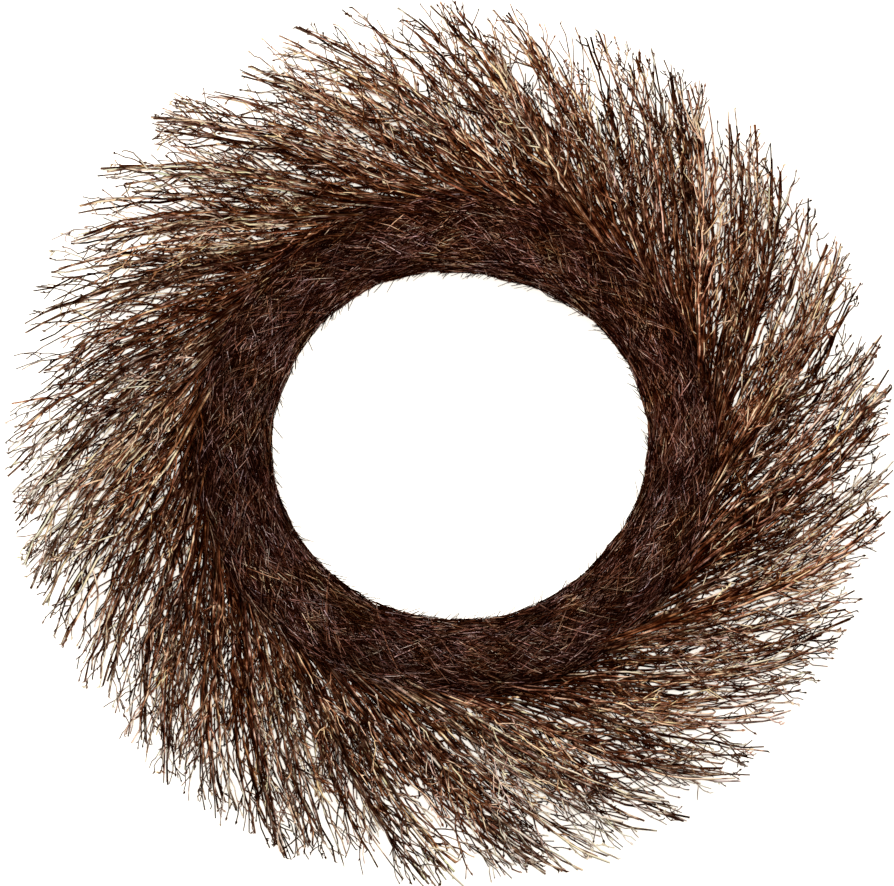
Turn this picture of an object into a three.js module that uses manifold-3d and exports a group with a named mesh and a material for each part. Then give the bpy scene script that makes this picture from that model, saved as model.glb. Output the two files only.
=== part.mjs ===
// A twig wreath, lying on its back: sheaves of fine stems and sprays of twigs tied to a wire hoop.
// The sheaves line an oval hole. The butts of the sprays complete the dense band round it, and their
// twigs leave it on a slant, all leaning the same way, and fan out to a round fringe. Millimetres,
// front face up, the back on z = 0.

import * as THREE from "three";
import { mergeVertices } from "three/addons/utils/BufferGeometryUtils.js";
import Module from "manifold-3d";

const wasm = await Module();
wasm.setup();

// Overall size, and the oval hole, which sits a little off the middle of the fringe
const overallDiameter = 610;
const holeWidth = 262;
const holeHeight = 243;
const holeOffset = new THREE.Vector2(6.6, -1);

// The band of packed stems. Insets are distances out from the edge of the hole.
const bandWidth = 52;
const bandThickness = 55;
const hoopInset = 24.5;
const hoopValley = 11;

// The flat spots that the wreath lies on, one under each sheaf
const padInset = 13;
const padWidth = 4;
const padShare = 0.25;
const padLift = 5;

// The hoop, the binding wire and the gaps that touching pieces keep
const hoopRadius = 2.25;
const hoopSteps = 48;
const hoopSides = 6;
const hoopGap = 0.8;
const seamGap = 0.6;
const wireRadius = 0.7;
const wireSides = 3;
const wireGap = 0.35;
const lowestWire = 1.4;

// The sheaves and sprays, and the ridges along their fronts that their thickest stems make
const sprayCount = 20;
const sideGapAngle = THREE.MathUtils.degToRad(0.35);
const ridgeCount = 3;
const ridgeDepth = 2.6;
const shoulderDrop = 1.6;

// The slant of the twigs from straight out, in the band and out in the fringe
const bandLean = THREE.MathUtils.degToRad(70);
const fringeLean = THREE.MathUtils.degToRad(44);
const leanFade = 16;

// The twigs, from root to tip
const twigsPerSpray = 34;
const straightRadii = [1.25, 0];
const bentRadii = [1.25, 0.9, 0];
const bentShare = 0.1;
const rootInsets = [0.76 * bandWidth, 0.9 * bandWidth];
const rootShare = 0.16;
const heightStep = 0.618;
const shortestReach = 0.7;
const lowestTwig = 2.2;
const highestTip = 90;
const lowestFan = 8.2;
const fanHeight = 72;
const tipScatter = 9;
const twigGap = 0.4;
const mostTries = 40;

// The side shoots, and the trimmed stem ends that look into the hole
const forkShare = 0.25;
const forkRadii = [0.75, 0];
const forkLengths = [26, 58];
const forkTurns = [18, 34];
const forkTries = 8;
const stubRadii = [1.1, 0.8];

const pitch = (2 * Math.PI) / sprayCount;
const outerRadius = overallDiameter / 2;
const holeRadius = (holeWidth + holeHeight) / 4;
const holeOval = (holeWidth - holeHeight) / 4;
const bandRadius = holeRadius + bandWidth;

// A seeded random draw, the same on every run
let seed = 20;

function random() {
  seed = (seed + 0x6d2b79f5) | 0;
  let mixed = Math.imul(seed ^ (seed >>> 15), 1 | seed);
  mixed = (mixed + Math.imul(mixed ^ (mixed >>> 7), 61 | mixed)) ^ mixed;
  return ((mixed ^ (mixed >>> 14)) >>> 0) / 4294967296;
}

function between(low, high) {
  return low + (high - low) * random();
}

// How far round the wreath a twig has swept by each millimetre out from the hole
const sweepAngles = [0];
for (let radius = holeRadius; radius < outerRadius + bandWidth; radius += 1) {
  const pastBand = Math.max(0, radius - bandRadius);
  const lean = fringeLean + (bandLean - fringeLean) * Math.exp(-pastBand / leanFade);
  sweepAngles.push(sweepAngles.at(-1) + Math.tan(lean) / radius);
}

function sweep(radius) {
  const steps = radius - holeRadius;
  const index = Math.max(Math.floor(steps), 0);
  return THREE.MathUtils.lerp(sweepAngles[index], sweepAngles[index + 1], steps - index);
}

// A point at this distance and angle round the wreath: oval and off centre at the hole, round outside
function place(radius, angle, height) {
  const inward = 1 - THREE.MathUtils.clamp((radius - holeRadius) / (outerRadius - holeRadius), 0, 1);
  const reach = radius + holeOval * Math.cos(2 * angle) * inward;
  const x = reach * Math.cos(angle) + holeOffset.x * inward;
  const y = reach * Math.sin(angle) + holeOffset.y * inward;
  return new THREE.Vector3(x, y, height);
}

// The same, with the angle counted along the swirl that the twigs follow
function placeOnSwirl(radius, swirl, height) {
  return place(radius, swirl + sweep(radius), height);
}

// A closed solid through a row of rings. A last ring of one point is a tip, and a loop has no ends.
function loft(rings, isLoop = false) {
  const triangles = [];
  const starts = [0];
  rings.forEach((ring) => starts.push(starts.at(-1) + ring.length));
  const spans = isLoop ? rings.length : rings.length - 1;
  for (let span = 0; span < spans; span += 1) {
    const next = (span + 1) % rings.length;
    const a = starts[span];
    const b = starts[next];
    const count = rings[span].length;
    for (let i = 0; i < count; i += 1) {
      const j = (i + 1) % count;
      if (rings[next].length === 1) {
        triangles.push(a + i, a + j, b);
      } else {
        triangles.push(a + i, a + j, b + j, a + i, b + j, b + i);
      }
    }
  }
  if (!isLoop) {
    const last = rings.length - 1;
    triangles.push(...endFaces(rings[0]).flatMap(([a, b, c]) => [a, c, b]));
    triangles.push(...endFaces(rings[last]).flatMap((face) => face.map((corner) => starts[last] + corner)));
  }
  const vertProperties = new Float32Array(rings.flat().flatMap((point) => point.toArray()));
  const triVerts = new Uint32Array(triangles);
  return new wasm.Manifold(new wasm.Mesh({ numProp: 3, vertProperties, triVerts }));
}

// The end of a loft as triangles, each a list of three corners of its ring
function endFaces(ring) {
  if (ring.length < 3) {
    return [];
  }
  const middle = new THREE.Vector3();
  ring.forEach((point) => middle.addScaledVector(point, 1 / ring.length));
  const spokes = ring.map((point) => point.clone().sub(middle));
  const normal = new THREE.Vector3();
  spokes.forEach((spoke, i) => normal.add(spoke.clone().cross(spokes[(i + 1) % ring.length])));
  normal.normalize();
  const across = spokes[0].clone().addScaledVector(normal, -spokes[0].dot(normal)).normalize();
  const along = normal.clone().cross(across);
  const outline = spokes.map((spoke) => new THREE.Vector2(spoke.dot(across), spoke.dot(along)));
  return THREE.ShapeUtils.triangulateShape(outline, []);
}

// Rings of a few sides round a path, one at each of its points. A radius of 0 makes a tip.
function ringsAlong(path, radii, sides, isLoop = false) {
  let side = new THREE.Vector3(0, 0, 1);
  return path.map((point, i) => {
    const before = isLoop ? path.at(i - 1) : path[Math.max(i - 1, 0)];
    const after = isLoop ? path[(i + 1) % path.length] : path[Math.min(i + 1, path.length - 1)];
    const direction = after.clone().sub(before).normalize();
    if (i === 0 && Math.abs(direction.z) > 0.9) {
      side = new THREE.Vector3(1, 0, 0);
    }
    side = side.clone().addScaledVector(direction, -side.dot(direction)).normalize();
    const other = direction.clone().cross(side);
    if (radii[i] === 0) {
      return [point.clone()];
    }
    return Array.from({ length: sides }, (_, corner) => {
      const turn = (2 * Math.PI * corner) / sides;
      const offset = side.clone().multiplyScalar(Math.cos(turn)).addScaledVector(other, Math.sin(turn));
      return point.clone().addScaledVector(offset, radii[i]);
    });
  });
}

// The back and front of the band at steps out from the hole. A sheaf has a flat spot that the wreath
// lies on. It meets a spray at a seam over the hoop, which lies in the valley between them.
const sheafStations = [
  { inset: 0, back: 14, front: 0.64 * bandThickness },
  { inset: 6, back: 8, front: 0.84 * bandThickness },
  { inset: padInset, back: 0, front: 0.93 * bandThickness },
  { inset: padInset + padWidth, back: 0, front: 0.98 * bandThickness },
  { inset: hoopInset - seamGap / 2, back: hoopValley, front: bandThickness, isFlat: true },
];
const sprayStations = [
  { inset: hoopInset + seamGap / 2, back: hoopValley, front: bandThickness, isFlat: true },
  { inset: 32, back: 4.6, front: 0.98 * bandThickness },
  { inset: 43, back: 6, front: 0.86 * bandThickness },
  { inset: bandWidth, back: 16, front: 0.69 * bandThickness, isFlat: true },
];

// The height of a spray's back and front at a distance out from the hole
function sprayHeights(inset) {
  const next = sprayStations.findIndex((station) => station.inset >= inset);
  const near = sprayStations[next - 1];
  const far = sprayStations[next];
  const share = (inset - near.inset) / (far.inset - near.inset);
  const back = THREE.MathUtils.lerp(Math.max(near.back, padLift), Math.max(far.back, padLift), share);
  return { back, front: THREE.MathUtils.lerp(near.front, far.front, share) };
}

// The packed stems of a sheaf or spray: a slanting blade with ridges along its front and flat faces at
// the seam and at its outer end. Its back is lifted along both sides, where the binding wire passes.
function packedStems(swirl, stations) {
  const halfWidth = pitch / 2 - sideGapAngle;
  const rings = stations.map((station) => {
    const radius = holeRadius + station.inset;
    const left = placeOnSwirl(radius, swirl - halfWidth, 0);
    const right = placeOnSwirl(radius, swirl + halfWidth, 0);
    const corner = (share, height) => {
      if (station.isFlat) {
        return left.clone().lerp(right, (1 + share) / 2).setZ(height);
      }
      return placeOnSwirl(radius, swirl + halfWidth * share, height);
    };
    const ring = [];
    for (let i = 0; i <= 2 * ridgeCount; i += 1) {
      const share = 1 - i / ridgeCount;
      const dip = i % 2 === 0 ? ridgeDepth : 0;
      ring.push(corner(share, station.front - dip - shoulderDrop * Math.abs(share)));
    }
    const lifted = Math.max(station.back, padLift);
    ring.push(corner(-1, lifted));
    ring.push(corner(-padShare, station.back));
    ring.push(corner(padShare, station.back));
    ring.push(corner(1, lifted));
    return ring;
  });
  return loft(rings);
}

// The hoop lies as deep in the valley as its inner flank allows
const flankRun = hoopInset - padInset - padWidth;
const flankSlope = Math.hypot(flankRun, hoopValley) / flankRun;
const hoopHeight = hoopValley - (hoopRadius + hoopGap) * flankSlope;

// The hoop, an oval ring of round wire in the valley along the seam
function hoopSolid() {
  const path = Array.from({ length: hoopSteps }, (_, i) =>
    place(holeRadius + hoopInset, (2 * Math.PI * i) / hoopSteps, hoopHeight),
  );
  return loft(ringsAlong(path, path.map(() => hoopRadius), hoopSides, true), true);
}

// The wire goes round the band once for each sheaf: up at the hole, slanting over the front, down
// through the roots of the fringe, and straight back under the hoop, where two sheaves meet
function wireSolid() {
  const offset = wireRadius + wireGap;
  const turn = [
    { inset: -offset, height: 12, advance: 0 },
    { inset: -offset, height: 0.66 * bandThickness, advance: 0.04 },
    { inset: 4.6, height: 0.85 * bandThickness + 1, advance: 0.16 },
    { inset: 15, height: bandThickness + 0.6, advance: 0.36 },
    { inset: 33, height: bandThickness + 0.9, advance: 0.7 },
    { inset: 44.5, height: 0.86 * bandThickness + 1.2, advance: 0.9 },
    { inset: bandWidth + offset, height: 0.7 * bandThickness, advance: 1 },
    { inset: bandWidth + offset, height: 14, advance: 1 },
    { inset: 43, height: 4.4, advance: 1 },
    { inset: hoopInset + 2, height: hoopHeight - hoopRadius - offset, advance: 1 },
    { inset: 8, height: lowestWire, advance: 1 },
    { inset: 4, height: 4.4, advance: 1 },
  ];
  const firstCrossing = pitch / 2 + sweep(holeRadius + padInset + padWidth / 2);
  const path = [];
  for (let sheaf = 0; sheaf < sprayCount; sheaf += 1) {
    for (const step of turn) {
      const angle = firstCrossing + pitch * (sheaf + step.advance);
      path.push(place(holeRadius + step.inset, angle, step.height));
    }
  }
  return loft(ringsAlong(path, path.map(() => wireRadius), wireSides));
}

// One twig, straight or bent once on its way. Its share says how near the front it grows.
function twigPath(swirl, share) {
  const rootInset = between(...rootInsets);
  const { back, front } = sprayHeights(rootInset);
  const rootHeight = THREE.MathUtils.lerp(back + 3, front - 7, share);
  const reach = 1 - (1 - shortestReach) * random() ** 1.4;
  const tipRadius = bandRadius + (outerRadius - bandRadius) * reach;
  const bendRadius = bandRadius + (tipRadius - bandRadius) * between(0.38, 0.52);
  const tipHeight = lowestFan + share * fanHeight + between(-tipScatter, tipScatter);
  const root = placeOnSwirl(holeRadius + rootInset, swirl, rootHeight);
  const tip = placeOnSwirl(
    tipRadius,
    swirl + between(-0.035, 0.035),
    THREE.MathUtils.clamp(tipHeight, lowestTwig + 1, highestTip),
  );
  if (random() > bentShare) {
    return [root, tip];
  }
  const bendHeight = THREE.MathUtils.lerp(rootHeight, tip.z, between(0.42, 0.62));
  return [root, placeOnSwirl(bendRadius, swirl + between(-0.02, 0.02), bendHeight), tip];
}

// A side shoot from the outer part of a twig
function forkPath(path) {
  const footShare = path.length > 2 ? between(0.1, 0.55) : between(0.35, 0.75);
  const foot = path.at(-2).clone().lerp(path.at(-1), footShare);
  const direction = path.at(-1).clone().sub(path.at(-2)).normalize();
  const turn = THREE.MathUtils.degToRad(between(...forkTurns)) * (random() < 0.5 ? -1 : 1);
  direction.applyAxisAngle(new THREE.Vector3(0, 0, 1), turn);
  direction.z += between(-0.12, 0.14);
  return [foot, foot.clone().addScaledVector(direction.normalize(), between(...forkLengths))];
}

// A trimmed stem end that looks into the hole
function stubPath(swirl) {
  const height = between(18, 30);
  const inside = placeOnSwirl(holeRadius + 9, swirl, height);
  const trimmed = place(holeRadius - between(2, 4.5), swirl - between(0.03, 0.05), height + between(-2, 2));
  return [inside, trimmed];
}

function isInReach(path) {
  return path.every(
    (point) => Math.hypot(point.x, point.y) <= outerRadius && point.z >= lowestTwig && point.z <= highestTip,
  );
}

function twigSolid(path, radii, extra = 0) {
  return loft(ringsAlong(path, radii.map((radius) => radius + extra), 3));
}

function withBox(solid) {
  return { solid, box: solid.boundingBox() };
}

function boxesMeet(a, b) {
  return [0, 1, 2].every((axis) => a.min[axis] <= b.max[axis] && b.min[axis] <= a.max[axis]);
}

function isClear(solid, others) {
  const box = solid.boundingBox();
  return others.every((other) => !boxesMeet(box, other.box) || solid.intersect(other.solid).isEmpty());
}

// A sheaf of packed stems with one trimmed stem end
function growSheaf(swirl, stems, others) {
  const stub = twigSolid(stubPath(swirl + pitch * between(-0.35, 0.35)), stubRadii);
  return isClear(stub, others) ? stems.add(stub) : stems;
}

// A spray with its twigs. Each twig is drawn again until it is clear of all that is there already
// and, past its root, of the twigs beside it.
function growSpray(swirl, stems, others) {
  const pieces = [stems];
  const freeTwigs = [];
  const addIfClear = (path, radii) => {
    const freePath = [path[0].clone().lerp(path[1], rootShare), ...path.slice(1)];
    const freeTwig = twigSolid(freePath, radii);
    const isFree = isInReach(path) && isClear(twigSolid(path, radii, twigGap), others);
    if (!isFree || !isClear(freeTwig, freeTwigs)) {
      return false;
    }
    freeTwigs.push(withBox(freeTwig));
    pieces.push(twigSolid(path, radii));
    return true;
  };
  for (let twig = 0; twig < twigsPerSpray; twig += 1) {
    const slot = (twig + 0.5) / twigsPerSpray - 0.5;
    let path = null;
    let isAdded = false;
    for (let attempt = 0; attempt < mostTries && !isAdded; attempt += 1) {
      const share = (twig * heightStep + between(0, 0.12)) % 1;
      path = twigPath(swirl + pitch * (0.94 * slot + between(-0.03, 0.03)), share);
      isAdded = addIfClear(path, path.length > 2 ? bentRadii : straightRadii);
    }
    const hasFork = isAdded && random() < forkShare;
    let isForked = false;
    for (let attempt = 0; hasFork && attempt < forkTries && !isForked; attempt += 1) {
      isForked = addIfClear(forkPath(path), forkRadii);
    }
  }
  return wasm.Manifold.union(pieces);
}

function meshFrom(solid, name, color, roughness, metalness) {
  const result = solid.getMesh();
  const geometry = new THREE.BufferGeometry();
  geometry.setAttribute("position", new THREE.BufferAttribute(new Float32Array(result.vertProperties), 3));
  geometry.setIndex(new THREE.BufferAttribute(new Uint32Array(result.triVerts), 1));
  const merged = mergeVertices(geometry, 1e-4);
  merged.computeVertexNormals();
  const mesh = new THREE.Mesh(merged, new THREE.MeshStandardMaterial({ color, roughness, metalness }));
  mesh.name = name;
  return mesh;
}

const wreath = new THREE.Group();
wreath.name = "twig_wreath";

const hoop = withBox(hoopSolid());
const wire = withBox(wireSolid());
wreath.add(meshFrom(hoop.solid, "hoop", 0x4a4642, 0.5, 0.8));
wreath.add(meshFrom(wire.solid, "binding_wire", 0x5c3524, 0.6, 0.2));

const stemColor = 0x33201a;
const sprayColors = [0x46291c, 0x523424, 0x3f261c];
const swirls = Array.from({ length: sprayCount }, (_, i) => i * pitch);
const sheafCores = swirls.map((swirl) => withBox(packedStems(swirl, sheafStations)));
const sprayCores = swirls.map((swirl) => withBox(packedStems(swirl, sprayStations)));
const placed = [hoop, wire];

function numbered(name, index) {
  return `${name}_${String(index + 1).padStart(2, "0")}`;
}

sheafCores.forEach((core, i) => {
  const others = [...placed, ...sprayCores, ...sheafCores.filter((other) => other !== core)];
  const sheaf = growSheaf(swirls[i], core.solid, others);
  wreath.add(meshFrom(sheaf, numbered("sheaf", i), stemColor, 0.85, 0));
});

sprayCores.forEach((core, i) => {
  const others = [...placed, ...sheafCores, ...sprayCores.filter((other) => other !== core)];
  const spray = growSpray(swirls[i], core.solid, others);
  placed.push(withBox(spray));
  wreath.add(meshFrom(spray, numbered("spray", i), sprayColors[i % sprayColors.length], 0.85, 0));
});

// The middle of the footprint goes to the origin
const footprint = new THREE.Box3().setFromObject(wreath);
const middle = footprint.getCenter(new THREE.Vector3());
wreath.position.set(-middle.x, -middle.y, -footprint.min.z);

export default wreath;
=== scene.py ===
# The look of a twig wreath that lies on its back: a dense dark band of packed stems round an oval
# hole, and a fringe of fine branched twigs that leans counter-clockwise. Metres, the front face up.

import math

import bpy
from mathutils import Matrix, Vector


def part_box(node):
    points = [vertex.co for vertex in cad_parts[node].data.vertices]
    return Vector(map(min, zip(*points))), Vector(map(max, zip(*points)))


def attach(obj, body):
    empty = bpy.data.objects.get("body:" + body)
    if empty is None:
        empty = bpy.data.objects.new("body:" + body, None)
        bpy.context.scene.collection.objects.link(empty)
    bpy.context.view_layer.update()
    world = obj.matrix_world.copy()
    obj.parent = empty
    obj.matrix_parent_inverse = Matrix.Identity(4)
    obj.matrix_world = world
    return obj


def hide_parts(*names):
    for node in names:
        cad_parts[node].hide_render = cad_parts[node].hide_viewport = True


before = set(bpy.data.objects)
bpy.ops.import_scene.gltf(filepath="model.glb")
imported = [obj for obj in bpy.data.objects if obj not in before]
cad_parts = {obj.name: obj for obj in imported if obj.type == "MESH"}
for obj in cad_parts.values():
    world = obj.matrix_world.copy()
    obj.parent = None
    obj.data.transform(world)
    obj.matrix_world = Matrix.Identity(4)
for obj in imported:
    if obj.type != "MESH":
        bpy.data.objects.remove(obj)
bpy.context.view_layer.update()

# The hoop is one ring of dull drawn steel wire, bent to the oval of the hole and welded shut. It lies
# in a groove along the back of the band, and every sheaf and spray is tied onto it.
MM = 0.001
hoop_inset = 24.5 * MM
hoop_height = 5.59 * MM
hoop_radius = 2.25 * MM
hoop_steps = 180
hoop_sides = 14

# The hole is an oval with an uneven rim: some slack all round, three and four low lobes, each with
# its size and the angle of one peak, and small bumps. At rim_fade from the rim a third of it is left.
hole_radius = 126.25 * MM
hole_oval = 4.75 * MM
rim_slack = 0.7 * MM
rim_lobes = {3: (1.3 * MM, math.radians(10)), 4: (0.7 * MM, math.radians(20))}
rim_bumps = 7 * MM
rim_bump_scale = 2.5
rim_fade = 10 * MM
outer_radius = 305 * MM

# The hole is a little off the middle of the fringe, and the hoop's box tells where the fringe is
hole_offset = (6.6 * MM, -1 * MM)
hoop_low, hoop_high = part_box("hoop")
hoop_inward = 1 - hoop_inset / (outer_radius - hole_radius)
fringe_middle = [
    (hoop_low[axis] + hoop_high[axis]) / 2 - hole_offset[axis] * hoop_inward for axis in range(2)
]


class Field:
    """A number or vector that a node tree works out, so that a formula reads as plain arithmetic."""

    def __init__(self, tree, socket):
        self.tree = tree
        self.socket = socket
        self.is_vector = socket.type == "VECTOR"

    def does(self, operation, *others):
        is_vector = self.is_vector or any(isinstance(o, Field) and o.is_vector for o in others)
        made = self.tree.nodes.new("ShaderNodeVectorMath" if is_vector else "ShaderNodeMath")
        made.operation = operation
        if operation == "SCALE":
            plug(self.tree, self, made.inputs[0])
            plug(self.tree, others[0], made.inputs["Scale"])
        else:
            for target, value in zip(made.inputs, (self, *others)):
                plug(self.tree, value, target)
        shown = [output for output in made.outputs if output.enabled]
        return Field(self.tree, shown[0])

    def __add__(self, other):
        return self.does("ADD", other)

    def __sub__(self, other):
        return self.does("SUBTRACT", other)

    def __rsub__(self, other):
        return self * -1 + other

    def __mul__(self, other):
        if self.is_vector:
            return self.does("SCALE", other)
        return self.does("MULTIPLY", other)

    def __truediv__(self, other):
        return self.does("DIVIDE", other)

    def __pow__(self, other):
        return self.does("POWER", other)

    def cos(self):
        return self.does("COSINE")

    def sin(self):
        return self.does("SINE")

    def exp(self):
        return self.does("EXPONENT")

    def at_least(self, other):
        return self.does("MAXIMUM", other)

    def at_most(self, other):
        return self.does("MINIMUM", other)


def plug(tree, value, target):
    if isinstance(value, Field):
        tree.links.new(value.socket, target)
    elif isinstance(value, bpy.types.NodeSocket):
        tree.links.new(value, target)
    else:
        target.default_value = value


def add_node(tree, kind, inputs=None, **settings):
    """A new node with these settings. Its inputs are named, or numbered where a name is used twice."""
    made = tree.nodes.new(kind)
    for name, value in settings.items():
        setattr(made, name, value)
    for name, value in (inputs or {}).items():
        plug(tree, value, made.inputs[name])
    return made


def vector(tree, x=0.0, y=0.0, z=0.0):
    return Field(tree, add_node(tree, "ShaderNodeCombineXYZ", {"X": x, "Y": y, "Z": z}).outputs[0])


def index(tree):
    return Field(tree, add_node(tree, "GeometryNodeInputIndex").outputs[0])


def spots(tree, at, scale, detail=2.0, roughness=0.5):
    """Noise from 0 to 1, with this many spots to each unit of the point it is taken at."""
    made = add_node(
        tree,
        "ShaderNodeTexNoise",
        {"Vector": at, "Scale": scale, "Detail": detail, "Roughness": roughness},
    )
    return Field(tree, made.outputs[0])


def start_tree(name, kind, inputs, outputs):
    """A new node group with these named sockets, and its inputs as fields."""
    tree = bpy.data.node_groups.new(name, kind)
    for direction, sockets in (("INPUT", inputs), ("OUTPUT", outputs)):
        for label, (socket_kind, default) in sockets.items():
            socket = tree.interface.new_socket(label, in_out=direction, socket_type=socket_kind)
            if default is not None:
                socket.default_value = default
    given = tree.nodes.new("NodeGroupInput")
    results = tree.nodes.new("NodeGroupOutput")
    fields = {socket.name: Field(tree, socket) for socket in given.outputs if socket.name}
    return tree, fields, results


def number(default=0.0):
    return ("NodeSocketFloat", default)


def whole(default=0):
    return ("NodeSocketInt", default)


GEOMETRY = ("NodeSocketGeometry", None)
MATERIAL = ("NodeSocketMaterial", None)
VECTOR = ("NodeSocketVector", None)


def make_ring_point():
    """A node group: the point at this distance and angle round the wreath, oval and uneven at the hole."""
    tree, given, results = start_tree(
        "Point round the hole",
        "GeometryNodeTree",
        {"Radius": number(), "Angle": number(), "Height": number()},
        {"Position": VECTOR},
    )
    radius, angle = given["Radius"], given["Angle"]
    outward = (radius - hole_radius) / (outer_radius - hole_radius)
    inward = 1 - outward.at_least(0).at_most(1)
    reach = radius + (angle * 2).cos() * inward * hole_oval
    bumps = spots(tree, vector(tree, angle.cos(), angle.sin()), rim_bump_scale, 3.0, 0.6)
    uneven = (bumps - 0.5) * rim_bumps + rim_slack
    for count, (size, peak) in rim_lobes.items():
        uneven = uneven + ((angle - peak) * count).cos() * size
    off_rim = (radius - hole_radius) / rim_fade
    reach = reach + (off_rim * off_rim * -1).exp() * uneven
    x = reach * angle.cos() + inward * hole_offset[0] + fringe_middle[0]
    y = reach * angle.sin() + inward * hole_offset[1] + fringe_middle[1]
    plug(tree, vector(tree, x, y, given["Height"]), results.inputs["Position"])
    return tree


ring_point = make_ring_point()


def place(tree, radius, angle, height):
    made = add_node(tree, "GeometryNodeGroup", node_tree=ring_point)
    for name, value in {"Radius": radius, "Angle": angle, "Height": height}.items():
        plug(tree, value, made.inputs[name])
    return Field(tree, made.outputs["Position"])


def swept_wire(tree, curve, radius, sides):
    """Round wire along a curve, closed at its ends."""
    profile = add_node(tree, "GeometryNodeCurvePrimitiveCircle", {"Resolution": sides, "Radius": 1.0})
    swept = add_node(
        tree,
        "GeometryNodeCurveToMesh",
        {"Curve": curve, "Profile Curve": profile.outputs["Curve"], "Scale": radius, "Fill Caps": True},
    )
    return swept.outputs["Mesh"]


def smooth(tree, mesh):
    return add_node(tree, "GeometryNodeSetShadeSmooth", {"Geometry": mesh}).outputs[0]


def realize(tree, geometry):
    return add_node(tree, "GeometryNodeRealizeInstances", {"Geometry": geometry}).outputs[0]


def coat(tree, geometry, material):
    made = add_node(tree, "GeometryNodeSetMaterial", {"Geometry": geometry, "Material": material})
    return made.outputs[0]


def add_tree(obj, tree, sizes):
    """Puts a tree on an object with these named sizes."""
    modifier = obj.modifiers.new(tree.name, "NODES")
    modifier.node_group = tree
    for item in tree.interface.items_tree:
        if item.item_type == "SOCKET" and item.in_out == "INPUT" and item.name in sizes:
            modifier[item.identifier] = sizes[item.name]


def new_blank(name):
    obj = bpy.data.objects.new(name, bpy.data.meshes.new(name))
    bpy.context.scene.collection.objects.link(obj)
    return obj


def make_plain(obj):
    """Turns what the trees made into a plain mesh."""
    bpy.context.view_layer.update()
    made = bpy.data.meshes.new_from_object(
        obj.evaluated_get(bpy.context.evaluated_depsgraph_get()),
        preserve_all_data_layers=True,
        depsgraph=bpy.context.evaluated_depsgraph_get(),
    )
    obj.modifiers.clear()
    obj.data = made
    made.name = obj.name


def make_hoop_tree():
    tree, given, results = start_tree(
        "Hoop",
        "GeometryNodeTree",
        {
            "Geometry": GEOMETRY,
            "Inset": number(hoop_inset),
            "Height": number(hoop_height),
            "Wire Radius": number(hoop_radius),
            "Material": MATERIAL,
        },
        {"Geometry": GEOMETRY},
    )
    circle = add_node(
        tree, "GeometryNodeCurvePrimitiveCircle", {"Resolution": hoop_steps, "Radius": 1.0}
    )
    angle = index(tree) * (math.tau / hoop_steps)
    bent = add_node(
        tree,
        "GeometryNodeSetPosition",
        {
            "Geometry": circle.outputs["Curve"],
            "Position": place(tree, given["Inset"] + hole_radius, angle, given["Height"]),
        },
    )
    wire = swept_wire(tree, bent.outputs[0], given["Wire Radius"], hoop_sides)
    coated = coat(tree, realize(tree, smooth(tree, wire)), given["Material"])
    plug(tree, coated, results.inputs["Geometry"])
    return tree


def start_material(name):
    material = bpy.data.materials.new(name)
    material.use_nodes = True
    tree = material.node_tree
    return material, tree, tree.nodes["Principled BSDF"]


def ramp(tree, factor, stops):
    """Colours along a 0 to 1 factor."""
    made = add_node(tree, "ShaderNodeValToRGB", {"Fac": factor})
    elements = made.color_ramp.elements
    while len(elements) < len(stops):
        elements.new(0.5)
    for element, (at, colour) in zip(elements, stops):
        element.position = at
        element.color = (*colour, 1)
    return made.outputs["Color"]


def object_point(tree):
    return Field(tree, add_node(tree, "ShaderNodeTexCoord").outputs["Object"])


def mottle(tree, scale, detail=2.0, roughness=0.5):
    """Noise in the object's own coordinates, with this many spots to a metre."""
    return spots(tree, object_point(tree), scale, detail, roughness)


def add_bump(tree, shader, height, distance, strength):
    bump = add_node(
        tree, "ShaderNodeBump", {"Height": height, "Distance": distance, "Strength": strength}
    )
    plug(tree, bump.outputs["Normal"], shader.inputs["Normal"])


def make_hoop_steel():
    """Drawn steel gone dull, with brown specks of rust."""
    material, tree, shader = start_material("hoop_steel")
    rust = mottle(tree, 420, 5.0, 0.65)
    colour = ramp(
        tree,
        rust,
        [(0.42, (0.1, 0.095, 0.088)), (0.56, (0.07, 0.055, 0.045)), (0.66, (0.09, 0.034, 0.015))],
    )
    plug(tree, colour, shader.inputs["Base Color"])
    plug(tree, (rust * -1.6 + 1.5).at_least(0.1).at_most(0.9), shader.inputs["Metallic"])
    plug(tree, (rust * 0.9).at_most(0.85), shader.inputs["Roughness"])
    add_bump(tree, shader, rust, 0.2 * MM, 0.5)
    return material


hoop = new_blank("hoop_wire")
add_tree(hoop, make_hoop_tree(), {"Material": make_hoop_steel()})
make_plain(hoop)
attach(hoop, "root")
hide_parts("hoop")

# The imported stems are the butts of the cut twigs, laid side by side on the hoop and pressed into a
# round dark band. Each of the 20 sheaves slants like the twigs and is a little slimmer at its seams.
sheaf_count = 20
pitch = math.tau / sheaf_count
band_width = 52 * MM
band_middle = (26 * MM, 27.5 * MM)
band_half = (27 * MM, 27.5 * MM)
groove_depth = 7.5 * MM
groove_width = 6.5 * MM
band_lean = math.radians(70)
fringe_lean = math.radians(44)
lean_fade = 16 * MM
lowest_stem = 0.5 * MM
stems_per_sheaf = 1080
stem_points = 3
stem_sides = 3
stem_radii = (0.22 * MM, 0.42 * MM)
stray_share = 0.06
loose_share = 0.05
ragged_share = 0.4
stem_taper = 0.06
stem_kink = 0.025
stem_dent = 0.02
skin_depths = (0.9, 1.05)
core_width = 0.9
core_height = 1.76
core_length = 0.98
core_taper = 0.1
core_cuts = {"Vertices X": 5, "Vertices Y": 9, "Vertices Z": 7}

# The bark's pattern starts somewhere within this many metres on each stem
bark_starts = 90


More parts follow.
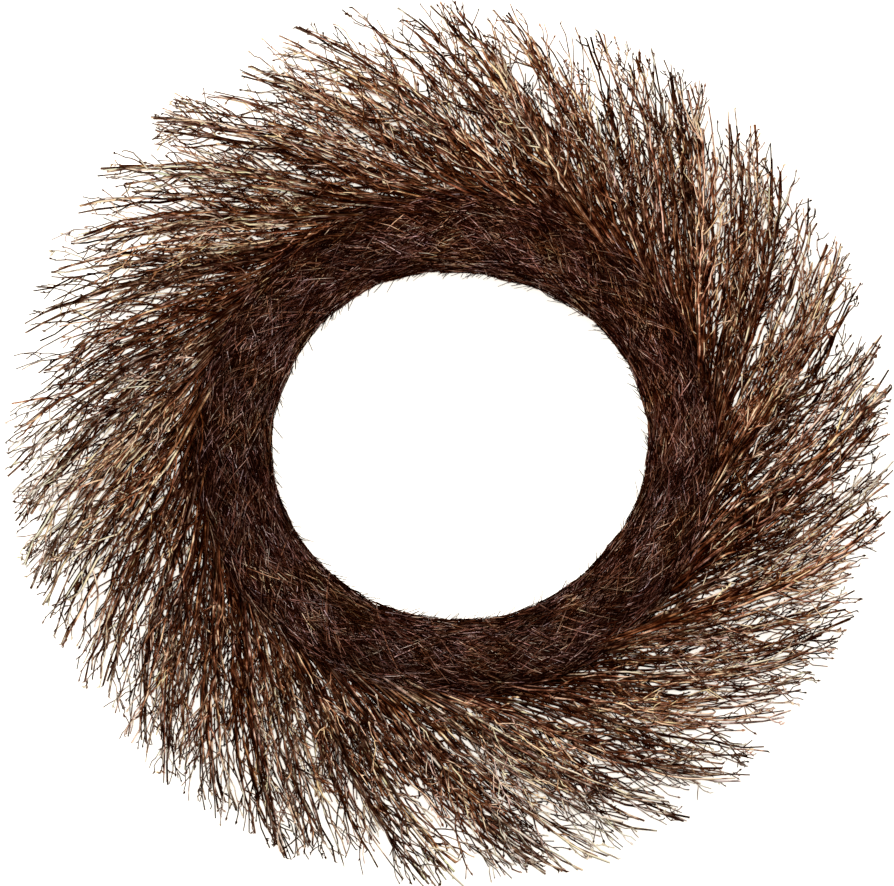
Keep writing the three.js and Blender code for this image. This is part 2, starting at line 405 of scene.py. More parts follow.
def sweep_table(steps=2000, samples=25):
    """How far round the wreath a stem has swept at even steps out from the hole."""
    angle = 0.0
    reach = outer_radius + 25 * MM - hole_radius
    table = [(0.0, 0.0)]
    for i in range(steps):
        radius = hole_radius + reach * (i + 0.5) / steps
        past_band = max(0.0, radius - hole_radius - band_width)
        lean = fringe_lean + (band_lean - fringe_lean) * math.exp(-past_band / lean_fade)
        angle += math.tan(lean) / radius * reach / steps
        if (i + 1) % (steps // (samples - 1)) == 0:
            table.append(((i + 1) / steps, angle))
    return reach, table


def make_sweep():
    """A node group: how far round a stem has swept at this distance from the middle."""
    reach, table = sweep_table()
    most = table[-1][1]
    tree, given, results = start_tree(
        "Sweep", "GeometryNodeTree", {"Radius": number()}, {"Angle": number()}
    )
    curve = add_node(
        tree, "ShaderNodeFloatCurve", {"Value": (given["Radius"] - hole_radius) / reach}
    )
    points = curve.mapping.curves[0].points
    points[0].location = (0, 0)
    points[1].location = (1, 1)
    for at, angle in table[1:-1]:
        points.new(at, angle / most)
    curve.mapping.update()
    plug(tree, Field(tree, curve.outputs[0]) * most, results.inputs["Angle"])
    return tree


sweep_group = make_sweep()


def sweep(tree, radius):
    made = add_node(tree, "GeometryNodeGroup", node_tree=sweep_group)
    plug(tree, radius, made.inputs["Radius"])
    return Field(tree, made.outputs["Angle"])


def make_band_section():
    """A node group: a point of a unit disc laid into the band's cross section, groove and all."""
    tree, given, results = start_tree(
        "Section of the band",
        "GeometryNodeTree",
        {"Across": number(), "Up": number()},
        {"Radius": number(), "Height": number()},
    )
    inset = given["Across"] * band_half[0] + band_middle[0]
    off_groove = (inset - hoop_inset) / groove_width
    groove = (off_groove * off_groove * -1).exp()
    how_far_back = (given["Up"] * -1.4).at_least(0).at_most(1)
    height = given["Up"] * band_half[1] + band_middle[1] + groove * how_far_back * groove_depth
    plug(tree, inset + hole_radius, results.inputs["Radius"])
    plug(tree, height.at_least(lowest_stem), results.inputs["Height"])
    return tree


band_section = make_band_section()


def section(tree, across, up):
    made = add_node(tree, "GeometryNodeGroup", node_tree=band_section)
    plug(tree, across, made.inputs["Across"])
    plug(tree, up, made.inputs["Up"])
    return Field(tree, made.outputs["Radius"]), Field(tree, made.outputs["Height"])


def stem_fields(tree):
    """For each point of many stems: which stem it is on, and how far along it, from 0 to 1."""
    which = add_node(tree, "GeometryNodeCurveOfPoint").outputs["Curve Index"]
    along = add_node(tree, "GeometryNodeSplineParameter").outputs["Factor"]
    return Field(tree, which), Field(tree, along)


def draw(tree, low, high, which, seed, salt):
    """A random number from low to high for each stem, the same on every run. Draws with another salt
    are independent. The node has sockets of one name for several kinds, so they are numbered."""
    made = add_node(
        tree, "FunctionNodeRandomValue", {2: low, 3: high, 7: which, 8: seed * 100 + salt}
    )
    return Field(tree, made.outputs[1])


def chance(tree, share, which, seed, salt):
    """1 for this share of the stems, and 0 for the rest."""
    return draw(tree, 0, 1, which, seed, salt).does("GREATER_THAN", 1 - share)


def many_stems(tree, count, points):
    """This many curves with this many points each, still to be laid in place."""
    line = add_node(tree, "GeometryNodeCurvePrimitiveLine")
    stepped = add_node(
        tree, "GeometryNodeResampleCurve", {"Curve": line.outputs[0], "Count": points}
    )
    many = add_node(
        tree,
        "GeometryNodeDuplicateElements",
        {"Geometry": stepped.outputs[0], "Amount": count},
        domain="SPLINE",
    )
    return many.outputs["Geometry"]


def lay(tree, stems, position, radius, shade, red, run):
    """Lays stems in place. With them it keeps how thick, light and red they are, and how far
    along its own stem each point lies, in metres from a random start."""
    laid = add_node(tree, "GeometryNodeSetPosition", {"Geometry": stems, "Position": position})
    for name, value in (("thick", radius), ("shade", shade), ("red", red), ("run", run)):
        laid = add_node(
            tree,
            "GeometryNodeStoreNamedAttribute",
            {"Geometry": laid.outputs[0], "Name": name, "Value": value},
        )
    return laid.outputs[0]


def stored(tree, name):
    return Field(tree, add_node(tree, "GeometryNodeInputNamedAttribute", {"Name": name}).outputs[0])


def join(tree, *parts):
    made = add_node(tree, "GeometryNodeJoinGeometry")
    for part in reversed(parts):
        plug(tree, part, made.inputs[0])
    return made.outputs[0]


def split(tree, point):
    made = add_node(tree, "ShaderNodeSeparateXYZ", {"Vector": point})
    return [Field(tree, made.outputs[axis]) for axis in "XYZ"]


def make_stems_tree():
    """Half the band at one sheaf: a core painted dark as the band's deep shade, and the stems on its skin
    that follow the band.
    """
    tree, given, results = start_tree(
        "Packed stems",
        "GeometryNodeTree",
        {
            "Geometry": GEOMETRY,
            "Sheaf Angle": number(),
            "Side": number(-1),
            "Stems": whole(stems_per_sheaf),
            "Shortest": number(7 * MM),
            "Longest": number(21 * MM),
            "Rise": number(0.08),
            "Tangle": number(0.64),
            "Front Share": number(0.3),
            "Seed": whole(1),
            "Core Material": MATERIAL,
            "Material": MATERIAL,
        },
        {"Geometry": GEOMETRY},
    )
    home, side, seed = given["Sheaf Angle"], given["Side"], given["Seed"]

    # The core is a block bent into half of the band's section, from the middle out to one side
    block = add_node(tree, "GeometryNodeMeshCube", {"Size": (1, 1, 1), **core_cuts})
    x, y, z = split(tree, add_node(tree, "GeometryNodeInputPosition").outputs[0])
    swell = 1 - (z * 2) ** 4 * core_taper
    across = (x + 0.5) * side * core_width * swell
    up = y * core_height * (1 - across * across) ** 0.5 * swell
    radius, height = section(tree, across, up)
    angle = home + sweep(tree, radius) + z * pitch * core_length
    core = add_node(
        tree,
        "GeometryNodeSetPosition",
        {"Geometry": block.outputs["Mesh"], "Position": place(tree, radius, angle, height)},
    )
    flipped = add_node(
        tree,
        "GeometryNodeFlipFaces",
        {"Mesh": core.outputs[0], "Selection": side.does("GREATER_THAN", 0)},
    )
    core = coat(tree, smooth(tree, flipped.outputs[0]), given["Core Material"])

    # Where each stem lies: around the section, how deep in it, and in which slot round the wreath
    which, along = stem_fields(tree)
    point = index(tree)
    in_front = draw(tree, 0, 1, which, seed, 13).does("LESS_THAN", given["Front Share"])
    any_side = (1 - side) * (math.pi / 2) + draw(tree, -1.65, 1.65, which, seed, 1)
    front = math.pi / 2 - side * draw(tree, -0.12, 1.1, which, seed, 14)
    around = front * in_front + any_side * (1 - in_front)
    deep = draw(tree, *skin_depths, which, seed, 2) + in_front * (side + 1) * 0.04
    slot = draw(tree, -0.5, 0.5, which, seed, 3)
    depth = deep * (1 - (slot * 2) ** 4 * stem_taper)

    # Stems run round the band, each at a skew of its own, and strays are shorter and turned further
    is_stray = chance(tree, stray_share, which, seed, 5)
    length = draw(tree, given["Shortest"], given["Longest"], which, seed, 4) * (1 - is_stray * 0.4)
    skew = draw(tree, -1, 1, which, seed, 6) + draw(tree, -0.8, 0.8, which, seed, 16)
    slope = given["Rise"] + skew * given["Tangle"]
    slope = slope + is_stray * draw(tree, -0.8, 0.7, which, seed, 7)
    start_radius, _ = section(tree, around.cos(), around.sin())
    travel = (along - 0.5) * length
    wander = slope * travel / band_half[0] + draw(tree, -stem_kink, stem_kink, point, seed, 17)
    turn = around - wander * around.sin()

    # A few stems lift off the band at one end, more of them at the hole on a ragged sheaf
    near_hole = (around.cos() * -1 - 0.6).at_least(0)
    is_ragged = chance(tree, ragged_share, 0, seed, 19)
    looser = near_hole * (is_ragged * 0.5 - 0.15)
    is_loose = (draw(tree, 0, 1, which, seed, 11) + looser).does("GREATER_THAN", 1 - loose_share)
    lift = is_loose * along * along * draw(tree, 0.04, 0.16, which, seed, 12) * (near_hole * 2 + 1)
    depth = depth + lift + draw(tree, -stem_dent, stem_dent, point, seed, 8)
    radius, height = section(tree, turn.cos() * depth, turn.sin() * depth)
    angle = home + sweep(tree, start_radius) + slot * pitch + travel / start_radius

    thick = draw(tree, *stem_radii, which, seed, 9) * (1.08 - along * along * 0.5)
    shade = draw(tree, 0, 1, which, seed, 10) + draw(tree, -0.16, 0.16, point, seed, 18)
    shade = shade + near_hole * 0.2 - is_loose * near_hole
    skin = lay(
        tree,
        many_stems(tree, given["Stems"], stem_points),
        place(tree, radius, angle, height),
        thick,
        shade,
        draw(tree, 0.2, 1, which, seed, 15),
        travel + draw(tree, 0, bark_starts, which, seed, 20),
    )
    wires = swept_wire(tree, skin, stored(tree, "thick"), stem_sides)
    stems = coat(tree, smooth(tree, wires), given["Material"])
    real = realize(tree, join(tree, given["Geometry"], core, stems))
    plug(tree, real, results.inputs["Geometry"])
    return tree


def mix_colours(tree, factor, first, second, blend_type="MIX"):
    """The node has sockets of one name for several kinds, so its colour sockets are numbered."""
    made = add_node(
        tree,
        "ShaderNodeMix",
        {"Factor": factor, 6: first, 7: second},
        data_type="RGBA",
        blend_type=blend_type,
    )
    return made.outputs[2]


# Patches along a stem, and flecks, to a metre of bark
patch_density = 110
fleck_density = 1400


def make_bark_group():
    """A shader group: bark colour, roughness and relief for a stem of this shade."""
    tree, given, results = start_tree(
        "Bark",
        "ShaderNodeTree",
        {
            "Shade": number(0.5),
            "Lift": number(0.0),
            "Redness": number(0.5),
            "Blotches": number(1.0),
            "Fineness": number(1.0),
            "Tint": ("NodeSocketColor", (1, 1, 1, 1)),
            "Run": number(),
        },
        {
            "Color": ("NodeSocketColor", None),
            "Roughness": number(),
            "Relief": number(),
        },
    )
    run = given["Run"]
    along_stem = vector(tree, run * 0.8, run * 0.5, run * 0.35)
    patch = spots(tree, along_stem, given["Fineness"] * patch_density, 3.0)
    fleck = mottle(tree, given["Fineness"] * fleck_density)
    tone = given["Shade"] + given["Lift"] + (patch - 0.5) * given["Blotches"] + (fleck - 0.5) * 0.4
    reddish = ramp(
        tree,
        tone,
        [
            (0.0, (0.0035, 0.0005, 0.0001)),
            (0.27, (0.0105, 0.0014, 0.0003)),
            (0.48, (0.041, 0.0093, 0.003)),
            (0.66, (0.108, 0.032, 0.0125)),
            (0.84, (0.285, 0.12, 0.064)),
            (1.0, (0.58, 0.395, 0.26)),
        ],
    )
    greyish = ramp(
        tree,
        tone,
        [
            (0.0, (0.003, 0.0007, 0.0003)),
            (0.27, (0.0085, 0.0017, 0.0006)),
            (0.48, (0.029, 0.0114, 0.0062)),
            (0.66, (0.074, 0.042, 0.028)),
            (0.84, (0.195, 0.147, 0.115)),
            (1.0, (0.46, 0.4, 0.33)),
        ],
    )
    hue = mix_colours(tree, given["Redness"].at_least(0).at_most(1), greyish, reddish)
    plug(tree, mix_colours(tree, 1.0, hue, given["Tint"], "MULTIPLY"), results.inputs["Color"])
    plug(tree, fleck * 0.35 + 0.42, results.inputs["Roughness"])
    plug(tree, fleck * 0.6 + patch * 0.4, results.inputs["Relief"])
    return tree


bark_group = make_bark_group()


def paint_edge_shade(tree, colour, facing):
    """Darkens a colour towards the outlines of a stem, where it turns away from view: painted shade."""
    edge_shade = add_node(tree, "ShaderNodeCombineColor")
    for channel in ("Red", "Green", "Blue"):
        plug(tree, 1 - facing * facing * 0.85, edge_shade.inputs[channel])
    return mix_colours(tree, 1.0, colour, edge_shade.outputs[0], "MULTIPLY")


def attribute(tree, name):
    return Field(tree, add_node(tree, "ShaderNodeAttribute", attribute_name=name).outputs["Fac"])


# Bark changes outward from fringe_start, over fringe_reach, and gets painted light high up and painted
# shade low down
fringe_start = 170 * MM
fringe_reach = 130 * MM
depth_shade_height = 45 * MM


def make_bark(name, contrast, lift, outward_lift, red_lift, blotches, fineness, tint, warm_patches):
    """Dry twig bark, patchy in tone and redness, less red far out, with painted light at the front and
    painted shade low down.
    """
    material, tree, shader = start_material(name)
    shade, red, run = (attribute(tree, kept) for kept in ("shade", "red", "run"))
    x, y, z = split(tree, object_point(tree))
    outward = ((x * x + y * y) ** 0.5 - fringe_start) / fringe_reach
    # Painted shade on the low stems and painted light on the high ones, by height
    front = (z - depth_shade_height) * 4
    stand = mottle(tree, 26, 1.0) - 0.5
    bark = add_node(tree, "ShaderNodeGroup", node_tree=bark_group)
    plug(tree, (shade - 0.5) * contrast + 0.5, bark.inputs["Shade"])
    calmer = (outward * 1.5 + 0.65).at_least(0.65).at_most(1)
    plug(tree, calmer * blotches, bark.inputs["Blotches"])
    region = mottle(tree, 24, 1.0) - 0.5
    redness = red + red_lift - 0.1 + region * 0.7 - (outward - 0.65).at_least(0) * 1.2
    redness = redness + (x + y) * 0.5
    plug(tree, redness, bark.inputs["Redness"])
    outward_tone_and_depth_shade = outward.at_least(0).at_most(1) * outward_lift + front.at_least(-0.2).at_most(0.12)
    plug(tree, outward_tone_and_depth_shade + stand * 0.35 + lift, bark.inputs["Lift"])
    plug(tree, fineness, bark.inputs["Fineness"])
    warmth = (mottle(tree, 48, 2.0) - 0.47).at_least(-0.05) * warm_patches
    own = spots(tree, vector(tree, run, run * 0.7, run * 0.4), 1.5)
    plug(tree, run, bark.inputs["Run"])
    tinted = add_node(tree, "ShaderNodeCombineColor", {"Red": tint[0]})
    plug(tree, warmth * 0.1 + (own - 0.5) * 0.7 + tint[1], tinted.inputs["Green"])
    plug(tree, tint[2] - warmth, tinted.inputs["Blue"])
    plug(tree, tinted.outputs[0], bark.inputs["Tint"])
    # Painted shade on the stems' outlines, by how far each point turns away from view
    facing = add_node(tree, "ShaderNodeLayerWeight", {"Blend": 0.5}).outputs["Facing"]
    plug(tree, paint_edge_shade(tree, bark.outputs["Color"], Field(tree, facing)), shader.inputs["Base Color"])
    plug(tree, bark.outputs["Roughness"], shader.inputs["Roughness"])
    shader.inputs["Specular IOR Level"].default_value = 0.0
    add_bump(tree, shader, bark.outputs["Relief"], 0.25 * MM, 0.6)
    return material


def make_core_painted_shade():
    """The stems deep in the band, streaked like bark and painted almost black as the shade between the
    ones on top.
    """
    material, tree, shader = start_material("packed_core_painted_shade")
    x, y, z = split(tree, object_point(tree))
    angle = y.does("ARCTAN2", x)
    along_band = vector(tree, (x * x + y * y) ** 0.5 - angle * 0.035, angle * 0.012, z)
    streaks = spots(tree, along_band, 900.0, 3.0, 0.6)
    colour = ramp(
        tree,
        streaks,
        [(0.4, (0.0024, 0.0005, 0.0002)), (0.52, (0.011, 0.0027, 0.0012)), (0.66, (0.05, 0.019, 0.012))],
    )
    plug(tree, colour, shader.inputs["Base Color"])
    plug(tree, streaks * 0.4 + 0.6, shader.inputs["Roughness"])
    shader.inputs["Specular IOR Level"].default_value = 0.0
    add_bump(tree, shader, streaks, 0.8 * MM, 0.8)
    return material


stems_tree = make_stems_tree()
core_painted_shade = make_core_painted_shade()
stem_bark = make_bark(
    "stem_bark",
    contrast=0.95,
    lift=-0.19,
    outward_lift=0.0,
    red_lift=-0.02,
    blotches=1.3,
    fineness=2.4,
    tint=(1, 0.93, 1.04),
    warm_patches=1.3,
)
for i in range(sheaf_count):
    sheaf = new_blank(f"sheaf_stems_{i + 1:02d}")
    add_tree(
        sheaf,
        stems_tree,
        {
            "Sheaf Angle": i * pitch,
            "Side": -1.0,
            "Seed": i + 1,
            "Core Material": core_painted_shade,
            "Material": stem_bark,
        },
    )
    make_plain(sheaf)
    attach(sheaf, "root")
    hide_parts(f"sheaf_{i + 1:02d}")

# The sprays are branched twigs with their bark on. Their butts are pressed in beside the sheaves as
# the outer half of the band, and their tips fan out to the fringe, all leaning the same way.
twigs_per_spray = 47
twig_points = 15
twig_sides = 3
shoots_per_twig = 5
shoot_points = 7
twiglets_per_shoot = 1
tufts = 5
twiglet_points = 3
twig_roots = (0.62, 0.92)
long_twig_bias = 1.75
twig_curl = 0.02
tuft_curl = 0.05
twig_splay = 0.022
twig_kinks = (2.2 * MM, 1.1 * MM)
shoot_kinks = (1.25 * MM, 0.55 * MM)
shortest_shoot = 2.5 * MM
thinnest_shoot = 0.42 * MM
lowest_twig = 1.5 * MM
lowest_shoot = 1.2 * MM
fringe_edge = outer_radius * 0.985
wide_share = 0.06
bud_share = 0.45
bud_radii = (0.55 * MM, 1.0 * MM)
bud_stretch = 2.1
thorn_radii = (0.5 * MM, 0.85 * MM)
thorn_stretch = 3.8
stems_per_butt = 540


def either_side(tree, which, seed, salt):
    """1 or -1, as likely as not."""
    return chance(tree, 0.5, which, seed, salt) * 2 - 1


def make_twigs_tree():
    """Twigs in tufts, that fan out of the band, with shoots on the twigs, twiglets on both, and buds
    and thorns."""
    tree, given, results = start_tree(
        "Branched twigs",
        "GeometryNodeTree",
        {
            "Geometry": GEOMETRY,
            "Sheaf Angle": number(),
            "Twigs": whole(twigs_per_spray),
            "Shoots Each": whole(shoots_per_twig),
            "Twiglets Each": whole(twiglets_per_shoot),
            "Thorn Share": number(0.25),
            "Thickest": number(1.2 * MM),
            "Shortest Reach": number(0.38),
            "Highest Tip": number(80 * MM),
            "Seed": whole(1),
            "Material": MATERIAL,
        },
        {"Geometry": GEOMETRY},
    )
    home, seed = given["Sheaf Angle"], given["Seed"]
    which, along = stem_fields(tree)
    point = index(tree)

    def jitter(size, salt):
        return draw(tree, -size, size, point, seed, salt)

    tuft = (draw(tree, 0, 1, which, seed, 32) * tufts).does("FLOOR")
    share = draw(tree, 0, 0.55, which, seed, 21) + draw(tree, 0, 0.45, tuft, seed, 37)
    off_tuft = draw(tree, -0.5, 0.5, which, seed, 22) * (1 - along * along * 0.75)
    swirl = home + (tuft + 0.5 + off_tuft) * (pitch / tufts) - pitch / 2
    root = draw(tree, *twig_roots, which, seed, 23) * band_width + hole_radius
    band_edge = hole_radius + band_width
    reach = 1 - (1 - given["Shortest Reach"]) * draw(tree, 0, 1, which, seed, 24) ** long_twig_bias
    tuft_reach = 1.02 - draw(tree, 0, 1, tuft, seed, 36) ** 2 * 0.13
    tip = reach * tuft_reach * (outer_radius - band_edge) + band_edge
    radius = root + (tip - root) * along
    own_curl = draw(tree, -twig_curl, twig_curl, which, seed, 25)
    curl = (own_curl + draw(tree, -tuft_curl, tuft_curl, tuft, seed, 38)) * along * along
    splay = draw(tree, -twig_splay, twig_splay, which, seed, 33) * along
    angle = swirl + sweep(tree, radius) + curl + splay + jitter(twig_kinks[0], 26) / radius
    root_height = share * 41 * MM + 10 * MM
    tip_height = share * (given["Highest Tip"] - 12 * MM) + draw(tree, 2 * MM, 14 * MM, which, seed, 27)
    height = root_height + (tip_height - root_height) * along + jitter(twig_kinks[1], 28)
    start = draw(tree, 0.55, 1, which, seed, 29) * given["Thickest"]
    is_wide = chance(tree, wide_share, which, seed, 34)
    thick = start * (1 - along * 0.25) * (jitter(0.28, 30) + 1) * (is_wide * 0.35 + 1)
    shade = draw(tree, 0, 1, which, seed, 31) ** 1.25 + jitter(0.3, 39)
    shade = shade + draw(tree, -0.1, 0.1, tuft, seed, 40)
    twigs = lay(
        tree,
        many_stems(tree, given["Twigs"], twig_points),
        place(tree, radius, angle, height.at_least(lowest_twig)),
        thick,
        shade * ((along * 2.2).at_most(1) * 0.45 + 0.55),
        draw(tree, 0, 1, which, seed, 35) + is_wide * 0.4,
        along * (tip - root) * 1.4 + draw(tree, 0, bark_starts, which, seed, 64),
    )

    def grow(parents, parent, at, lengths, turns, tilt, follow, size, points, count, salt):
        """Side shoots: each leaves its parent at a turn and bends back to run along with it."""
        values = vector(tree, stored(tree, "thick"), stored(tree, "shade"), stored(tree, "red"))
        sample = add_node(
            tree,
            "GeometryNodeSampleCurve",
            {"Curves": parents, "Factor": at, "Curve Index": parent},
            mode="FACTOR",
            data_type="FLOAT_VECTOR",
        )
        plug(tree, values, sample.inputs["Value"])
        own_thick, own_shade, own_red = split(tree, sample.outputs["Value"])
        foot = Field(tree, sample.outputs["Position"])
        heading = Field(tree, sample.outputs["Tangent"])
        side = either_side(tree, which, seed, salt)
        turned = add_node(
            tree,
            "ShaderNodeVectorRotate",
            {"Vector": heading, "Angle": draw(tree, *turns, which, seed, salt + 1) * side},
            rotation_type="Z_AXIS",
        )
        rise = vector(tree, z=draw(tree, -tilt, tilt, which, seed, salt + 2))
        leaving = Field(tree, turned.outputs[0]) + rise
        out = foot.does("MULTIPLY", vector(tree, 1.0, 1.0)).does("LENGTH")
        room = (fringe_edge - out) * 1.25
        length = draw(tree, *lengths, which, seed, salt + 3).at_most(room).at_least(shortest_shoot)
        run = leaving * (along * length) + (heading - leaving) * (along * along * length * follow)
        shake = vector(
            tree,
            jitter(shoot_kinks[0], salt + 4) * along,
            jitter(shoot_kinks[0], salt + 5) * along,
            jitter(shoot_kinks[1], salt + 6) * along,
        )

        # Only the height has a real limit: the other two are metres away
        position = (foot + run + shake).at_least(vector(tree, -9.0, -9.0, lowest_shoot))
        return lay(
            tree,
            many_stems(tree, count, points),
            position,
            (own_thick * size * (1 - along * 0.3)).at_least(thinnest_shoot),
            own_shade + draw(tree, -0.25, 0.2, point, seed, salt + 7),
            own_red + draw(tree, -0.2, 0.2, which, seed, salt + 8),
            along * length + draw(tree, 0, bark_starts, which, seed, salt + 9),
        )

    shoot_count = given["Twigs"] * given["Shoots Each"]
    shoots = grow(
        twigs,
        parent=(which / given["Shoots Each"]).does("FLOOR"),
        at=draw(tree, 0.16, 0.97, which, seed, 41),
        lengths=(18 * MM, 52 * MM),
        turns=(0.3, 0.95),
        tilt=0.3,
        follow=0.4,
        size=0.72,
        points=shoot_points,
        count=shoot_count,
        salt=42,
    )
    branches = join(tree, twigs, shoots)
    branch_count = shoot_count + given["Twigs"]
    any_branch = (draw(tree, 0, 1, which, seed, 51) * branch_count).does("FLOOR")
    twiglets = grow(
        branches,
        parent=any_branch.at_most(branch_count - 1),
        at=draw(tree, 0.35, 1, which, seed, 52),
        lengths=(4 * MM, 15 * MM),
        turns=(0.35, 1.05),
        tilt=0.5,
        follow=0.2,
        size=0.8,
        points=twiglet_points,
        count=shoot_count * given["Twiglets Each"],
        salt=53,
    )
    wires = swept_wire(tree, join(tree, branches, twiglets), stored(tree, "thick"), twig_sides)

    # Buds sit on the tips of shoots and twiglets, and thorns along twigs and shoots
    heading = add_node(tree, "GeometryNodeInputTangent").outputs[0]
    ends = add_node(tree, "GeometryNodeCurveEndpointSelection", {"Start Size": 0, "End Size": 1})
    has_bud = chance(tree, bud_share, which, seed, 61)
    along_twig = add_node(tree, "FunctionNodeAlignRotationToVector", {"Vector": heading})
    bud = add_node(tree, "GeometryNodeMeshUVSphere", {"Segments": 5, "Rings": 2, "Radius": 1.0})
    bud_size = draw(tree, *bud_radii, which, seed, 62)
    buds = add_node(
        tree,
        "GeometryNodeInstanceOnPoints",
        {
            "Points": join(tree, shoots, twiglets),
            "Selection": Field(tree, ends.outputs[0]) * has_bud,
            "Instance": bud.outputs["Mesh"],
            "Rotation": along_twig.outputs[0],
            "Scale": vector(tree, bud_size, bud_size, bud_size * bud_stretch),
        },
    )
    has_thorn = draw(tree, 0, 1, point, seed, 71).does("LESS_THAN", given["Thorn Share"])
    side = either_side(tree, point, seed, 72)
    aside = add_node(
        tree,
        "ShaderNodeVectorRotate",
        {"Vector": heading, "Angle": draw(tree, 0.5, 1.2, point, seed, 73) * side},
        rotation_type="Z_AXIS",
    )
    aside = Field(tree, aside.outputs[0]) + vector(tree, z=draw(tree, -0.5, 0.5, point, seed, 74))
    turned = add_node(tree, "FunctionNodeAlignRotationToVector", {"Vector": aside})
    thorn = add_node(
        tree,
        "GeometryNodeMeshCone",
        {"Vertices": 3, "Radius Top": 0.0, "Radius Bottom": 1.0, "Depth": thorn_stretch},
        fill_type="NGON",
    )
    thorns = add_node(
        tree,
        "GeometryNodeInstanceOnPoints",
        {
            "Points": join(tree, twigs, shoots),
            "Selection": has_thorn,
            "Instance": thorn.outputs["Mesh"],
            "Rotation": turned.outputs[0],
            "Scale": draw(tree, *thorn_radii, point, seed, 75),
        },
    )
    geometry = join(tree, smooth(tree, wires), buds.outputs[0], thorns.outputs[0])
    coated = coat(tree, realize(tree, geometry), given["Material"])
    plug(tree, join(tree, given["Geometry"], coated), results.inputs["Geometry"])
    return tree


twigs_tree = make_twigs_tree()
twig_bark = make_bark(
    "twig_bark",
    contrast=0.5,
    lift=0.08,
    outward_lift=0.12,
    red_lift=0.3,
    blotches=2.4,
    fineness=1.0,
    tint=(1, 1.01, 0.97),
    warm_patches=0.6,
)
for i in range(sheaf_count):
    spray = new_blank(f"spray_twigs_{i + 1:02d}")
    add_tree(
        spray,
        stems_tree,
        {
            "Sheaf Angle": i * pitch,
            "Side": 1.0,
            "Stems": stems_per_butt,
            "Rise": 0.2,
            "Tangle": 0.74,
            "Front Share": 0.45,
            "Seed": i + 31,
            "Core Material": core_painted_shade,
            "Material": stem_bark,
        },
    )
    add_tree(
        spray, twigs_tree, {"Sheaf Angle": i * pitch, "Seed": i + 61, "Material": twig_bark}
    )
    make_plain(spray)
    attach(spray, "root")
    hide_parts(f"spray_{i + 1:02d}")

# The binding wire is one thin brown lacquered wire. It goes round the hoop and the band once for each
# sheaf: slanting over the front, and straight back under the hoop.
tie_radius = 0.55 * MM
tie_steps = 28
tie_sides = 6
first_tie = pitch / 2
under_tie = hole_radius + 15 * MM
lowest_tie = 1.9 * MM


def make_tie_tree():
    tree, given, results = start_tree(
        "Binding wire",
        "GeometryNodeTree",
        {
            "Geometry": GEOMETRY,
            "Turns": whole(sheaf_count),
            "Wire Radius": number(tie_radius),
            "Tightness": number(1.0),
            "Material": MATERIAL,
        },
        {"Geometry": GEOMETRY},
    )
    step = index(tree)
    turn = (step / tie_steps).does("FLOOR")
    part = step / tie_steps - turn
    around = math.pi - part * math.tau
    across = around.cos() * given["Tightness"]
    radius = across * band_half[0] + band_middle[0] + hole_radius
    height = around.sin() * given["Tightness"] * band_half[1] + band_middle[1]
    advance = ((part * 2).at_most(1) * math.pi).cos() * -0.5 + 0.5
    angle = sweep(tree, under_tie) + (turn + advance) * pitch + first_tie
    line = add_node(tree, "GeometryNodeCurvePrimitiveLine")
    stepped = add_node(
        tree,
        "GeometryNodeResampleCurve",
        {"Curve": line.outputs[0], "Count": given["Turns"] * tie_steps},
    )
    wound = add_node(
        tree,
        "GeometryNodeSetPosition",
        {
            "Geometry": stepped.outputs[0],
            "Position": place(tree, radius, angle, height.at_least(lowest_tie)),
        },
    )
    wire = swept_wire(tree, wound.outputs[0], given["Wire Radius"], tie_sides)
    coated = coat(tree, realize(tree, smooth(tree, wire)), given["Material"])
    plug(tree, coated, results.inputs["Geometry"])
    return tree


def make_lacquer():
    """Thin brown lacquer on wire, worn to a coppery tan in places."""
    material, tree, shader = start_material("binding_wire")
    wear = mottle(tree, 130, 4.0, 0.6)
    colour = ramp(
        tree,
        wear,
        [(0.38, (0.03, 0.01, 0.005)), (0.55, (0.1, 0.034, 0.015)), (0.7, (0.2, 0.075, 0.033))],
    )
    plug(tree, colour, shader.inputs["Base Color"])
    plug(tree, (wear - 0.5).at_least(0) * 0.8, shader.inputs["Metallic"])
    plug(tree, wear * 0.5 + 0.3, shader.inputs["Roughness"])
    shader.inputs["Specular IOR Level"].default_value = 0.2
    add_bump(tree, shader, wear, 0.1 * MM, 0.4)
    return material


tie = new_blank("binding_wire_wound")
add_tree(tie, make_tie_tree(), {"Material": make_lacquer()})
make_plain(tie)
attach(tie, "root")
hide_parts("binding_wire")

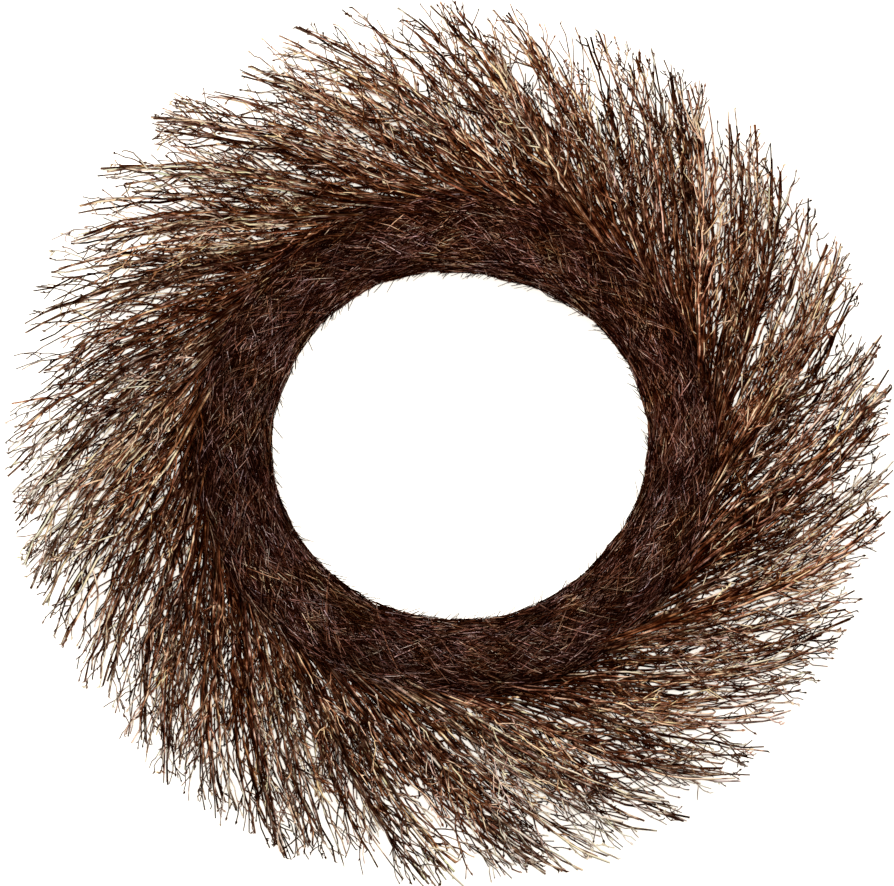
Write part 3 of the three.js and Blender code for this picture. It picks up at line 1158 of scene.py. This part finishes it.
# The wreath lies on a plain pale floor, in the even light of a studio with three soft lamps, and the
# camera looks straight down on it from above its middle.
floor_half = 6.0
floor_colour = (0.93, 0.87, 0.79, 1)
floor_roughness = 0.9
sky_strength = 0.5
floor_mesh = bpy.data.meshes.new("floor")
floor_mesh.from_pydata(
    [(x * floor_half, y * floor_half, 0) for x, y in ((-1, -1), (1, -1), (1, 1), (-1, 1))],
    [],
    [(0, 1, 2, 3)],
)
floor = bpy.data.objects.new("floor", floor_mesh)
bpy.context.scene.collection.objects.link(floor)
floor_paint, _, floor_shader = start_material("floor_paint")
floor_shader.inputs["Base Color"].default_value = floor_colour
floor_shader.inputs["Roughness"].default_value = floor_roughness
floor_mesh.materials.append(floor_paint)

world = bpy.data.worlds.new("studio")
bpy.context.scene.world = world
world.use_nodes = True
sky = world.node_tree.nodes["Background"]
sky.inputs["Color"].default_value = (1, 1, 1, 1)
sky.inputs["Strength"].default_value = sky_strength


def add_softbox(name, place_at, size, power):
    """A square lamp turned towards the wreath, with its size in metres and its power in watts."""
    light = bpy.data.lights.new(name, "AREA")
    light.shape = "SQUARE"
    light.size = size
    light.energy = power
    obj = bpy.data.objects.new(name, light)
    bpy.context.scene.collection.objects.link(obj)
    obj.location = place_at
    obj.rotation_euler = Vector(place_at).to_track_quat("Z", "Y").to_euler()


add_softbox("overhead", (0.0, 0.02, 3.6), size=0.14, power=130)
add_softbox("fill", (0.5, 0.7, 3.2), size=0.8, power=35)
add_softbox("key", (-1.4, 1.6, 2.2), size=0.8, power=60)

# The picture is view_width wide at view_height, about the middle of the wreath's depth
camera_height = 3.5
camera_x = -1.0 * MM
view_height = 47 * MM
view_width = 0.615
sensor_width = 36
farthest_seen = 20
camera_data = bpy.data.cameras.new("camera")
camera_data.sensor_width = sensor_width
camera_data.lens = sensor_width * (camera_height - view_height) / view_width
camera_data.clip_end = farthest_seen
camera = bpy.data.objects.new("camera", camera_data)
bpy.context.scene.collection.objects.link(camera)
camera.location = (camera_x, 0.0, camera_height)
bpy.context.scene.camera = camera
bpy.context.scene.view_settings.view_transform = "Standard"
